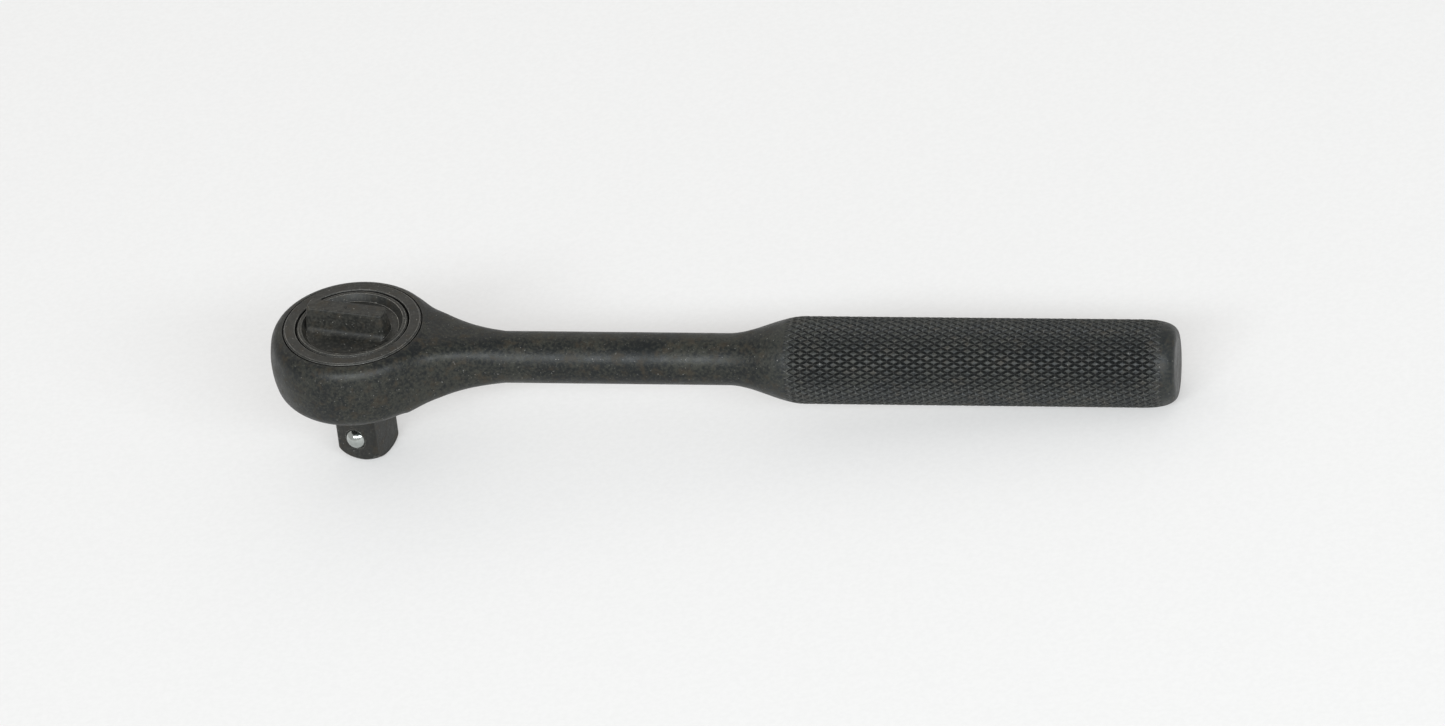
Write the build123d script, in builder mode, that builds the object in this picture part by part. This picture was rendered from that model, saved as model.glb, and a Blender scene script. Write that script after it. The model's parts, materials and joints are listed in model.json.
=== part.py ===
"""Round-head reversible ratchet wrench, 3/8 inch square drive, millimetres.

The origin is on the drive axis at the head's bottom face.  +Z runs up the drive
axis through the reversing knob and +X runs along the handle.

The forged body holds a pressed-in ring gear.  The drive core turns in it and
carries two opposed pawls.  A cam on the reversing knob's stem lifts one pawl out
of the gear and lets the other one in.
"""
from build123d import *
import os
from math import cos, degrees, radians, sin, sqrt

os.makedirs("parts", exist_ok=True)

# ---------------------------------------------------------------- driving sizes
# Square drive
square_af = 9.525              # 3/8 inch across the flats
square_turn = -20.0            # the square's right-hand flat faces this way, degrees
square_corner_r = 0.85
collar_r = 6.2                 # plain round neck between journal and square
collar_length = 2.9
tang_end_z = -15.4
tang_lead_z = -12.9            # where the turned lead-in starts
tang_lead_r = 6.6
tang_face_r = 3.6
tang_round = (5.6, -14.55)     # radius and height of a point on the lead-in

# Head
head_height = 15.9
head_r = 17.63                 # widest, halfway up the barrelled side
side_r = 17.1                  # at both ends of the barrelled side
side_low_z = 4.0
side_mid_z = 8.65
side_high_z = 13.3
rim_z = 15.88
crown_start = (16.42, 14.79)   # where the side's rounding tightens to the crown's
cone_top = (15.33, 1.48)       # radius and height where the lower cone meets its rounding
head_bottom_r = 13.05
recess_r = 14.56               # seat of the cover ring
recess_floor_z = 13.95
chamber_r = 13.6               # seat of the ring gear
chamber_floor_z = 3.0
journal_bore_r = 8.0

# Neck and handle
shank_z = 8.13                 # height of the handle's axis
neck_r = 5.34
handle_r = 9.0
flare_start_x = 11.99          # where the flare leaves the head's circle
flare_end_x = 31.34
flare_drop = 2.72              # how far the flare swells below the neck at the head
flare_drop_power = 2.5
flare_rise = 3.84              # and above it, levelling off below the head's rim
flare_rise_power = 2.1
flare_rise_most = 2.1
flare_squareness = 1.8         # the flare turns from round to squarish towards the head
flare_stations = (flare_start_x, 14.5, 17.5, 20.5, 24.0, 27.5)
cone_start_x = 77.9
cone_end_x = 94.0
handle_end_x = 170.35
end_face_r = 5.7               # flat face that closes the handle
end_round = ((162.55, 9.0), (166.4, 8.78), (168.35, 8.28), (169.56, 7.6), (170.1, 6.92))

# Gear and pawls
tooth_count = 36
tooth_tip_r = 11.95
tooth_root_r = 12.75
tooth_flat = 0.05              # half width of each tip and root flat
gear_top_z = 12.0
mech_turn = 12.0               # the mechanism's line of symmetry, degrees from +X
pin_circle_r = 9.6
pin_angle = 120.0              # pawl pins stand this far each side of that line
pin_r = 1.0
pin_foot_z = 4.0               # bottom of the hole each pin is pressed into
pin_top_gap = 0.05             # a pin stops this far below the top plate's face
pin_chamfer = 0.15
pawl_heel_r = 2.0
pawl_tail = (-3.4, -5.1)       # tail end, seen from the pin
pawl_tail_r = 1.0
pawl_lift = 12.0               # degrees from in mesh to lifted
mesh_gap = 0.1
nose_heel_angle = 94.5         # the toothed nose reaches from here
nose_tip_angle = 66.0          # to here around the drive axis
nose_root_r = 10.2             # teeth are cut outside this radius
nose_back = ((-0.8, 10.9), (4.9, 10.0))
nose_back_r = 0.7              # roundings of the nose's two outer corners
nose_corner = (4.5, 9.4)
nose_corner_r = 0.4            # rounding of its inner corner
washer_outer_r = 11.6
washer_inner_r = 8.2
washer_thickness = 0.5
pawl_spring_angle = 100.0      # springs point this way from the line of symmetry
pawl_spring_seat = (2.14, 5.15)
pawl_spring_bore_r = 1.0
pawl_spring_bore_depth = 3.5
pawl_spring_r = 0.72
pawl_spring_wire_r = 0.14
pawl_spring_turns = 3.5
pawl_spring_meshed = 2.7       # length with its pawl in mesh
pawl_spring_lifted = 1.5       # and with its pawl lifted

# Core
core_r = 11.8
core_floor_z = 3.55
pocket_floor_z = 5.5
pocket_roof_z = 11.6
core_top_z = 12.6
pawl_gap = 0.1                 # end float of a pawl in its pocket
heel_clearance = 0.2           # room round a pawl's heel and tail
tail_clearance = 0.25
heel_opening = 1.12            # the heel's pocket runs out to this share of its radius
nose_pocket = ((5.4, 7.5), (5.9, 9.2), (5.9, 12.5))
nose_pocket_r = 0.75           # corners of the pocket round a pawl's nose
cam_pocket_r = 9.35            # sector the cam's lobe swings in
cam_pocket_angles = (138, 152, 166, 180, 194, 208, 222)
cam_clearance = 0.3

# Selector
knob_turn = -10.0              # the thumb bar lies this way at rest, degrees from +X
selector_throw = 40.0
knob_r = 11.5
knob_edge = 0.3                # chamfer round the rim, outside
rim_inner_r = 10.55            # the flat rim ends here and slopes to the floor
floor_r = 9.55
knob_rim_z = 16.25
knob_floor_z = 14.9
knob_flange_r = 13.2
knob_under_z = 12.9
bar_top_z = 20.2
bar_half_top = 1.8
bar_half_width = 2.2
bar_fillet_r = 1.3             # hollow at the foot of each flank
bar_end_r = 8.9
bar_end_draft = 0.6            # the bar's ends lean in by this much at the top
bar_shift = 0.9                # the bar sits this far off the axis, away from the handle
bar_corner_r = 0.7             # rounding down the bar's four upright edges
bar_edge_r = 0.35              # rounding along its top edges
stem_r = 2.5
stem_flat = 1.9                # half the distance across the stem's two flats
stem_step_gap = 0.1            # the stem's shoulder clears the pocket floor by this
pilot_r = 1.9
pilot_end_gap = 0.3            # and its pilot stops short of the hole's bottom
flange_gap = 0.1               # axial play of the flange under the cover ring
cam_base_r = 4.2
cam_lobe_r = 7.9               # radius of the lobe's tip centre
cam_lobe_root_r = 1.5          # the lobe's sides run to a circle of this radius
cam_tip_r = 1.0
cam_lift_gap = 0.15            # the cam stands this far above the pocket floor
cam_bore_gap = 0.01
running_gap = 0.05             # radial clearance of every running fit
knob_washer_r = 5.0
knob_washer_bore_gap = 0.2
knob_washer_lift = 0.02        # clearance below the spring washer
knob_washer_slack = 0.05       # total axial play of the spring washer

# Cover
cover_inner_r = 11.84
cover_outer_r = 14.28
cover_outer_chamfer = 0.3
cover_inner_chamfer = 0.12
wire_r = 0.4
wire_circle_r = 14.45
wire_z = 15.0
wire_groove_gap = 0.03

# Detents
drive_ball_r = 2.381           # 3/16 inch ball
drive_ball_sink = 0.95         # its centre lies this far inside the flat
drive_ball_z = -10.2
drive_ball_bore_end = -2.4     # far end of its bore, past the drive axis
ball_lip_depth = 0.12          # a thin lip at the bore's mouth keeps the ball in
ball_lip_reach = 0.11
drive_spring_r = 1.6
drive_spring_wire_r = 0.25
drive_spring_turns = 5
drive_spring_nest = 0.1        # the ball sinks this far into the spring's end coil
select_ball_r = 1.0
select_ball_circle_r = 9.0
select_ball_z = 12.3
select_bore_floor_z = 7.5
select_track_gap = 0.1         # clearance of the ball's track in the knob
select_pocket_gap = 0.2        # and of the deeper pocket at each end of it
select_spring_r = 0.7
select_spring_wire_r = 0.15
select_spring_turns = 5


def turned(angle, height=0.0):
    """A level plane whose x axis points along angle, in degrees."""
    direction = (cos(radians(angle)), sin(radians(angle)), 0)
    return Plane(origin=(0, 0, height), x_dir=direction, z_dir=(0, 0, 1))


def facing(angle, height, distance=0.0):
    """An upright plane at a distance from the drive axis, facing outwards along angle."""
    out = (cos(radians(angle)), sin(radians(angle)), 0)
    origin = (distance * out[0], distance * out[1], height)
    return Plane(origin=origin, x_dir=(-out[1], out[0], 0), z_dir=out)


def polar(radius, angle):
    """A point given by radius and angle in degrees."""
    return (radius * cos(radians(angle)), radius * sin(radians(angle)))


def gear_outline(gap):
    """The outline inside the ring gear's teeth, drawn in by gap on every flank."""
    step = 360.0 / tooth_count
    points = []
    for tooth in range(tooth_count):
        valley = 90 + tooth * step
        for radius, sides in ((tooth_root_r - gap, (-1, 1)), (tooth_tip_r - gap, (-1, 1))):
            centre = valley if radius > tooth_tip_r else valley + step / 2
            flat = degrees(tooth_flat / radius)
            points += [polar(radius, centre + side * flat) for side in sides]
    return points


def coil(plane, length, coil_r, spring_wire_r, turns):
    """A round-wire compression spring that stands on plane."""
    rise = length - 2 * spring_wire_r
    with BuildPart() as spring:
        with BuildLine():
            path = Helix(pitch=rise / turns, height=rise, radius=coil_r,
                         center=plane.origin + plane.z_dir * spring_wire_r,
                         direction=plane.z_dir)
        with BuildSketch(Plane(origin=path @ 0, z_dir=path % 0)):
            Circle(spring_wire_r)
        sweep(path=path, is_frenet=True)
    return spring


# ---------------------------------------------------------------------- body
def flare_section(x):
    """Half width, height below and above its axis, and squareness of the flare."""
    part_way = (flare_end_x - x) / (flare_end_x - flare_start_x)
    arc_r = (flare_end_x ** 2 - head_r ** 2 + neck_r ** 2) / (2 * (head_r - neck_r))
    half_width = neck_r + arc_r - sqrt(arc_r ** 2 - (flare_end_x - x) ** 2)
    below = neck_r + flare_drop * part_way ** flare_drop_power
    swell = flare_rise * part_way ** flare_rise_power
    above = neck_r + (swell ** -4 + flare_rise_most ** -4) ** -0.25
    squareness = 2 + flare_squareness * min(1.0, 1.5 * part_way)
    return half_width, below, above, squareness


def superellipse(half_width, below, above, squareness, count=16):
    """Points around a rounded oblong."""
    points = []
    for i in range(count):
        c, s = polar(1, 360 * i / count)
        y = half_width * abs(c) ** (2 / squareness) * (1 if c > 0 else -1)
        z = abs(s) ** (2 / squareness) * (above if s > 0 else -below)
        points.append((y, z))
    return points


with BuildPart() as body:
    # Head: barrelled side, rounded crown, and a lower cone with a rounded start
    with BuildSketch(Plane.XZ):
        with BuildLine():
            side = ThreePointArc((side_r, side_low_z), (head_r, side_mid_z), (side_r, side_high_z))
            shoulder = TangentArc(side @ 1, crown_start, tangent=side % 1)
            TangentArc(crown_start, (recess_r, rim_z), tangent=shoulder % 1)
            TangentArc(side @ 0, cone_top, tangent=(side % 0) * -1)
            Line(cone_top, (head_bottom_r, 0))
            Line((head_bottom_r, 0), (0, 0))
            Line((0, 0), (0, rim_z))
            Line((0, rim_z), (recess_r, rim_z))
        make_face()
    revolve(axis=Axis.Z)
    # Flare from the head down to the neck
    for x in flare_stations:
        with BuildSketch(Plane(origin=(x, 0, shank_z), x_dir=(0, 1, 0), z_dir=(1, 0, 0))):
            with BuildLine():
                Spline(*superellipse(*flare_section(x)), periodic=True)
            make_face()
    with BuildSketch(Plane(origin=(flare_end_x, 0, shank_z), x_dir=(0, 1, 0), z_dir=(1, 0, 0))):
        Circle(neck_r)
    loft()
    # Neck, cone and handle in one turned shape
    with BuildSketch(Plane.XZ):
        with BuildLine():
            Line((flare_end_x, shank_z), (flare_end_x, shank_z + neck_r))
            Line((flare_end_x, shank_z + neck_r), (cone_start_x, shank_z + neck_r))
            Spline((cone_start_x, shank_z + neck_r), (cone_end_x, shank_z + handle_r),
                   tangents=((1, 0), (1, 0)))
            rounding = [(x, shank_z + radius) for x, radius in end_round]
            Line((cone_end_x, shank_z + handle_r), rounding[0])
            Spline(*rounding, (handle_end_x, shank_z + end_face_r), tangents=((1, 0), (0, -1)))
            Line((handle_end_x, shank_z + end_face_r), (handle_end_x, shank_z))
            Line((handle_end_x, shank_z), (flare_end_x, shank_z))
        make_face()
    revolve(axis=Axis((0, 0, shank_z), (1, 0, 0)))
    # Cover recess, gear chamber and journal bore
    with BuildSketch(Plane.XY.offset(recess_floor_z)):
        Circle(recess_r)
    extrude(amount=head_height, mode=Mode.SUBTRACT)
    with BuildSketch(Plane.XY.offset(chamber_floor_z)):
        Circle(chamber_r)
    extrude(amount=head_height, mode=Mode.SUBTRACT)
    with BuildSketch(Plane.XY):
        Circle(journal_bore_r)
    extrude(amount=head_height, mode=Mode.SUBTRACT)
    # Groove for the wire ring
    with BuildSketch(Plane.XZ):
        with Locations((wire_circle_r, wire_z)):
            Circle(wire_r + wire_groove_gap)
    revolve(axis=Axis.Z, mode=Mode.SUBTRACT)
body.part.label = "body"
export_step(body.part, "parts/body.step")

with BuildPart() as ring_gear:
    with BuildSketch(turned(mech_turn, chamber_floor_z)):
        Circle(chamber_r)
        with BuildLine():
            Polyline(*gear_outline(0), close=True)
        make_face(mode=Mode.SUBTRACT)
    extrude(amount=gear_top_z - chamber_floor_z)
ring_gear.part.label = "ring_gear"
export_step(ring_gear.part, "parts/ring_gear.step")

with BuildPart() as thrust_washer:
    with BuildSketch(Plane.XY.offset(chamber_floor_z)):
        Circle(washer_outer_r)
        Circle(washer_inner_r, mode=Mode.SUBTRACT)
    extrude(amount=washer_thickness)
thrust_washer.part.label = "thrust_washer"
export_step(thrust_washer.part, "parts/thrust_washer.step")

with BuildPart() as cover_ring:
    with BuildSketch(Plane.XY.offset(recess_floor_z)):
        Circle(cover_outer_r)
        Circle(cover_inner_r, mode=Mode.SUBTRACT)
    extrude(amount=knob_rim_z - recess_floor_z)
    top_edges = cover_ring.edges().group_by(Axis.Z)[-1].sort_by(SortBy.RADIUS)
    chamfer(top_edges[-1], length=cover_outer_chamfer)
    chamfer(top_edges[0], length=cover_inner_chamfer)
    with BuildSketch(Plane.XZ):
        with Locations((wire_circle_r, wire_z)):
            Circle(wire_r + wire_groove_gap)
    revolve(axis=Axis.Z, mode=Mode.SUBTRACT)
cover_ring.part.label = "cover_ring"
export_step(cover_ring.part, "parts/cover_ring.step")

with BuildPart() as cover_retaining_ring:
    with BuildSketch(Plane.XZ):
        with Locations((wire_circle_r, wire_z)):
            Circle(wire_r)
    revolve(axis=Axis.Z, revolution_arc=335)
cover_retaining_ring.part.label = "cover_retaining_ring"
export_step(cover_retaining_ring.part, "parts/cover_retaining_ring.step")

# ---------------------------------------------------------------- pawl geometry
# All of this is in the mechanism's own plane, whose x axis is the line of symmetry.
# The outline is drawn with the pin at the origin and the nose in mesh.
pin_x, pin_y = polar(pin_circle_r, pin_angle)


def from_pin(point):
    """A point of the mechanism's plane, seen from the pawl pin."""
    return (point[0] - pin_x, point[1] - pin_y)


def pawl_outline():
    """One pawl: a heel round the pin, a toothed nose and a tail for the cam."""
    with BuildSketch() as tail:
        Circle(pawl_heel_r)
        with Locations(pawl_tail):
            Circle(pawl_tail_r)
        make_hull()
    with BuildSketch() as outline:
        Circle(pawl_heel_r)
        with Locations(*[from_pin(point) for point in nose_back]):
            Circle(nose_back_r)
        with Locations(from_pin(nose_corner)):
            Circle(nose_corner_r)
        make_hull()
    with BuildSketch() as nose:
        with BuildLine():
            sector = ((nose_root_r, nose_tip_angle), (chamber_r, nose_tip_angle),
                      (chamber_r, nose_heel_angle), (nose_root_r, nose_heel_angle))
            Polyline(*[from_pin(polar(*corner)) for corner in sector], close=True)
        make_face()
        with BuildLine():
            Polyline(*[from_pin(point) for point in gear_outline(mesh_gap)], close=True)
        make_face(mode=Mode.INTERSECT)
    with BuildSketch() as whole:
        add(outline.sketch)
        add(tail.sketch)
        add(nose.sketch)
        Circle(pin_r + running_gap, mode=Mode.SUBTRACT)
    return whole.sketch


def pawl_plane(side, lift):
    """The plane of a pawl: side is 1 above the line of symmetry and -1 below it."""
    place = turned(mech_turn).from_local_coords((pin_x, side * pin_y))
    angle = mech_turn - side * lift
    direction = (cos(radians(angle)), sin(radians(angle)), 0)
    origin = (place.X, place.Y, pocket_floor_z + pawl_gap)
    return Plane(origin=origin, x_dir=direction, z_dir=(0, 0, 1))


pawl_height = pocket_roof_z - pocket_floor_z - 2 * pawl_gap
for name, side, lift in (("pawl_forward", -1, 0.0), ("pawl_reverse", 1, pawl_lift)):
    with BuildPart() as pawl:
        with BuildSketch(pawl_plane(side, lift)):
            if side > 0:
                add(pawl_outline())
            else:
                add(mirror(pawl_outline(), about=Plane.XZ))
        extrude(amount=pawl_height)
    pawl.part.label = name
    export_step(pawl.part, "parts/" + name + ".step")

for name, side in (("pawl_pin_forward", -1), ("pawl_pin_reverse", 1)):
    with BuildPart() as pin:
        with BuildSketch(turned(mech_turn, pin_foot_z)):
            with Locations((pin_x, side * pin_y)):
                Circle(pin_r)
        extrude(amount=core_top_z - pin_top_gap - pin_foot_z)
        chamfer(pin.edges().group_by(Axis.Z)[0], length=pin_chamfer)
    pin.part.label = name
    export_step(pin.part, "parts/" + name + ".step")

# Each pawl spring stands in a bore across the core and pushes the nose outwards
spring_mid_z = (pocket_floor_z + pocket_roof_z) / 2


def spring_plane(side):
    """The seat of a pawl spring, facing along the spring."""
    base = turned(mech_turn, spring_mid_z)
    seat_x, seat_y = pawl_spring_seat
    origin = base.from_local_coords((seat_x, side * seat_y, 0))
    tip = polar(1, mech_turn + side * pawl_spring_angle)
    return Plane(origin=origin, x_dir=(0, 0, 1), z_dir=(tip[0], tip[1], 0))


for name, side, length in (("pawl_spring_forward", -1, pawl_spring_meshed),
                           ("pawl_spring_reverse", 1, pawl_spring_lifted)):
    spring = coil(spring_plane(side), length, pawl_spring_r, pawl_spring_wire_r,
                  pawl_spring_turns)
    spring.part.label = name
    export_step(spring.part, "parts/" + name + ".step")

# ---------------------------------------------------------------- drive core
lift_tail = Vector(*pawl_tail).rotate(Axis.Z, -pawl_lift)
ball_angle = square_turn - 90

with BuildPart() as drive_core:
    # Square with its turned lead-in
    with BuildSketch(turned(square_turn, tang_end_z)):
        RectangleRounded(square_af, square_af, square_corner_r)
    extrude(amount=-tang_end_z - collar_length / 2)
    with BuildSketch(Plane.XZ):
        with BuildLine():
            Line((0, tang_end_z), (tang_face_r, tang_end_z))
            ThreePointArc((tang_face_r, tang_end_z), tang_round, (tang_lead_r, tang_lead_z))
            Line((tang_lead_r, tang_lead_z), (tang_lead_r, 0))
            Line((tang_lead_r, 0), (0, 0))
            Line((0, 0), (0, tang_end_z))
        make_face()
    revolve(axis=Axis.Z, mode=Mode.INTERSECT)
    # Collar, journal and disc
    with BuildSketch(Plane.XY.offset(-collar_length)):
        Circle(collar_r)
    extrude(amount=collar_length)
    with BuildSketch(Plane.XY):
        Circle(journal_bore_r - running_gap)
    extrude(amount=core_floor_z)
    with BuildSketch(Plane.XY.offset(core_floor_z)):
        Circle(core_r)
    extrude(amount=pocket_roof_z - core_floor_z)
    # Open pockets for the cam and for both pawls
    with BuildSketch(turned(mech_turn, pocket_floor_z)):
        Circle(cam_base_r + cam_clearance)
        with BuildLine():
            rim = [polar(cam_pocket_r, angle) for angle in cam_pocket_angles]
            Polyline((0, 0), *rim, close=True)
        make_face()
    extrude(amount=core_top_z, mode=Mode.SUBTRACT)
    for side in (1, -1):
        with BuildSketch(turned(mech_turn, pocket_floor_z)):
            with Locations((pin_x, side * pin_y)):
                Circle(pawl_heel_r + heel_clearance)
            for tail in (pawl_tail, (lift_tail.X, lift_tail.Y)):
                with Locations((pin_x + tail[0], side * (pin_y + tail[1]))):
                    Circle(pawl_tail_r + tail_clearance)
            make_hull()
        extrude(amount=core_top_z, mode=Mode.SUBTRACT)
        with BuildSketch(turned(mech_turn, pocket_floor_z)):
            for share in (1, heel_opening):
                with Locations((share * pin_x, share * side * pin_y)):
                    Circle(pawl_heel_r + heel_clearance)
            with Locations(*[(x, side * y) for x, y in nose_pocket]):
                Circle(nose_pocket_r)
            make_hull()
        extrude(amount=core_top_z, mode=Mode.SUBTRACT)
        with BuildSketch(spring_plane(side)):
            Circle(pawl_spring_bore_r)
        extrude(amount=pawl_spring_bore_depth, mode=Mode.SUBTRACT)
        with BuildSketch(turned(mech_turn, pin_foot_z)):
            with Locations((pin_x, side * pin_y)):
                Circle(pin_r)
        extrude(amount=core_top_z, mode=Mode.SUBTRACT)
    # Pilot hole of the selector stem and bore of the selector detent
    with BuildSketch(Plane.XY.offset(core_floor_z)):
        Circle(pilot_r + running_gap)
    extrude(amount=core_top_z, mode=Mode.SUBTRACT)
    with BuildSketch(turned(mech_turn, select_bore_floor_z)):
        with Locations((select_ball_circle_r, 0)):
            Circle(select_ball_r + running_gap)
    extrude(amount=core_top_z, mode=Mode.SUBTRACT)
    # Detent bore in the square, with a narrower lip that keeps the ball in
    with BuildSketch(facing(ball_angle, drive_ball_z, drive_ball_bore_end)):
        Circle(drive_ball_r + running_gap)
    extrude(amount=square_af / 2 - drive_ball_bore_end - ball_lip_depth, mode=Mode.SUBTRACT)
    with BuildSketch(facing(ball_angle, drive_ball_z)):
        Circle(drive_ball_r - ball_lip_reach)
    extrude(amount=square_af, mode=Mode.SUBTRACT)
drive_core.part.label = "drive_core"
export_step(drive_core.part, "parts/drive_core.step")

with BuildPart() as core_top_plate:
    with BuildSketch(turned(mech_turn, pocket_roof_z)):
        Circle(core_r)
        Circle(stem_r + running_gap, mode=Mode.SUBTRACT)
        with Locations((pin_x, pin_y), (pin_x, -pin_y)):
            Circle(pin_r, mode=Mode.SUBTRACT)
        with Locations((select_ball_circle_r, 0)):
            Circle(select_ball_r + running_gap, mode=Mode.SUBTRACT)
    extrude(amount=core_top_z - pocket_roof_z)
core_top_plate.part.label = "core_top_plate"
export_step(core_top_plate.part, "parts/core_top_plate.step")

with BuildPart() as knob_washer:
    with BuildSketch(Plane.XY.offset(core_top_z + knob_washer_lift)):
        Circle(knob_washer_r)
        Circle(stem_r + knob_washer_bore_gap, mode=Mode.SUBTRACT)
    extrude(amount=knob_under_z - core_top_z - knob_washer_slack)
knob_washer.part.label = "knob_washer"
export_step(knob_washer.part, "parts/knob_washer.step")

# ---------------------------------------------------------------- selector
# Thumb bar with hollow feet, cut to length on a circle set off from the drive axis
with BuildPart() as thumb_bar:
    root_z = (knob_under_z + knob_floor_z) / 2
    with BuildSketch(facing(knob_turn, 0, -knob_r)):
        with BuildLine():
            foot = (bar_half_width + bar_fillet_r, knob_floor_z)
            waist = (bar_half_width, knob_floor_z + bar_fillet_r)
            shoulder = (bar_half_top, bar_top_z)
            Line((0, root_z), (foot[0], root_z))
            Line((foot[0], root_z), foot)
            RadiusArc(foot, waist, bar_fillet_r)
            Line(waist, shoulder)
            Line(shoulder, (0, bar_top_z))
            mirror(about=Plane.YZ)
        make_face()
    extrude(amount=2 * knob_r)
    bar_middle_x = -bar_shift * cos(radians(knob_turn))
    bar_middle_y = -bar_shift * sin(radians(knob_turn))
    with BuildSketch(Plane.XZ.move(Location((bar_middle_x, bar_middle_y, 0)))):
        with BuildLine():
            Polyline((0, knob_under_z), (bar_end_r, knob_under_z),
                     (bar_end_r, knob_floor_z), (bar_end_r - bar_end_draft, bar_top_z),
                     (0, bar_top_z), close=True)
        make_face()
    revolve(axis=Axis((bar_middle_x, bar_middle_y, 0), (0, 0, 1)), mode=Mode.INTERSECT)
    upright = [edge for edge in thumb_bar.edges() if knob_floor_z < edge.center().Z < bar_top_z]
    fillet([edge for edge in upright if abs((edge % 0.5).Z) > 0.5], radius=bar_corner_r)
    fillet(thumb_bar.edges().group_by(Axis.Z)[-1], radius=bar_edge_r)

with BuildPart() as selector_knob:
    # Turned blank: stem, trapped flange and rimmed disc
    with BuildSketch(Plane.XZ):
        with BuildLine():
            pilot_z = core_floor_z + pilot_end_gap
            step_z = pocket_floor_z + stem_step_gap
            flange_z = recess_floor_z - flange_gap
            Polyline((0, pilot_z), (pilot_r, pilot_z), (pilot_r, step_z), (stem_r, step_z),
                     (stem_r, knob_under_z), (knob_flange_r, knob_under_z),
                     (knob_flange_r, flange_z), (knob_r, flange_z),
                     (knob_r, knob_rim_z - knob_edge), (knob_r - knob_edge, knob_rim_z),
                     (rim_inner_r, knob_rim_z), (floor_r, knob_floor_z),
                     (0, knob_floor_z), close=True)
        make_face()
    revolve(axis=Axis.Z)
    add(thumb_bar.part)
    # Two flats on the stem drive the cam
    with BuildSketch(turned(knob_turn, pocket_floor_z)):
        for side in (-1, 1):
            with Locations((side * (stem_flat + stem_r / 2), 0)):
                Rectangle(stem_r, 2 * stem_r)
    extrude(amount=pocket_roof_z - pocket_floor_z, mode=Mode.SUBTRACT)
    # Track of the detent ball under the disc, with a deeper pocket at each end
    track_start = mech_turn - selector_throw
    with BuildSketch(facing(track_start - 90, 0)):
        with Locations((select_ball_circle_r, select_ball_z)):
            Circle(select_ball_r + select_track_gap)
    revolve(axis=Axis.Z, revolution_arc=selector_throw, mode=Mode.SUBTRACT)
    for angle in (track_start, mech_turn):
        ball_x, ball_y = polar(select_ball_circle_r, angle)
        with Locations((ball_x, ball_y, select_ball_z)):
            Sphere(select_ball_r + select_pocket_gap, mode=Mode.SUBTRACT)
selector_knob.part.label = "selector_knob"
export_step(selector_knob.part, "parts/selector_knob.step")

with BuildPart() as selector_cam:
    lobe_angle = 180 - selector_throw / 2
    lobe_x, lobe_y = polar(cam_lobe_r, lobe_angle)
    with BuildSketch(turned(mech_turn, pocket_floor_z + cam_lift_gap)):
        Circle(cam_lobe_root_r)
        with Locations((lobe_x, lobe_y)):
            Circle(cam_tip_r)
        make_hull()
        Circle(cam_base_r)
    extrude(amount=pawl_height - 2 * pawl_gap)
    with BuildSketch(turned(knob_turn, pocket_floor_z)):
        Circle(stem_r + cam_bore_gap)
        for side in (-1, 1):
            with Locations((side * (stem_flat + cam_bore_gap + stem_r / 2), 0)):
                Rectangle(stem_r, 3 * stem_r, mode=Mode.SUBTRACT)
    extrude(amount=pocket_roof_z, mode=Mode.SUBTRACT)
selector_cam.part.label = "selector_cam"
export_step(selector_cam.part, "parts/selector_cam.step")

# ---------------------------------------------------------------- detents
drive_ball_out = square_af / 2 - drive_ball_sink
ball_x, ball_y = polar(drive_ball_out, ball_angle)
with BuildPart() as drive_detent_ball:
    with Locations((ball_x, ball_y, drive_ball_z)):
        Sphere(drive_ball_r)
drive_detent_ball.part.label = "drive_detent_ball"
export_step(drive_detent_ball.part, "parts/drive_detent_ball.step")

drive_spring_length = drive_ball_out - drive_ball_r - drive_ball_bore_end + drive_spring_nest
drive_detent_spring = coil(facing(ball_angle, drive_ball_z, drive_ball_bore_end),
                           drive_spring_length, drive_spring_r, drive_spring_wire_r,
                           drive_spring_turns)
drive_detent_spring.part.label = "drive_detent_spring"
export_step(drive_detent_spring.part, "parts/drive_detent_spring.step")

ball_x, ball_y = polar(select_ball_circle_r, mech_turn)
with BuildPart() as selector_detent_ball:
    with Locations((ball_x, ball_y, select_ball_z)):
        Sphere(select_ball_r)
selector_detent_ball.part.label = "selector_detent_ball"
export_step(selector_detent_ball.part, "parts/selector_detent_ball.step")

select_spring_length = select_ball_z - select_ball_r - select_bore_floor_z
spring_base = Plane(origin=(ball_x, ball_y, select_bore_floor_z), z_dir=(0, 0, 1))
selector_detent_spring = coil(spring_base, select_spring_length, select_spring_r,
                              select_spring_wire_r, select_spring_turns)
selector_detent_spring.part.label = "selector_detent_spring"
export_step(selector_detent_spring.part, "parts/selector_detent_spring.step")
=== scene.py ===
"""Looks of the ratchet wrench: a worn black-oxide tool on a pale floor.

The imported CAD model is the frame.  The body is rebuilt here with its blended flare and
its cut diamond knurl, and so are the drive ball and three coil springs.  Every other part
keeps its CAD shape and gets its material here.
Sizes are in millimetres, turned into metres by MM.
"""
import json
from math import atan2, ceil, cos, pi, radians, sin, sqrt

import bmesh
import bpy
import numpy as np
from mathutils import Matrix, Vector

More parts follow.
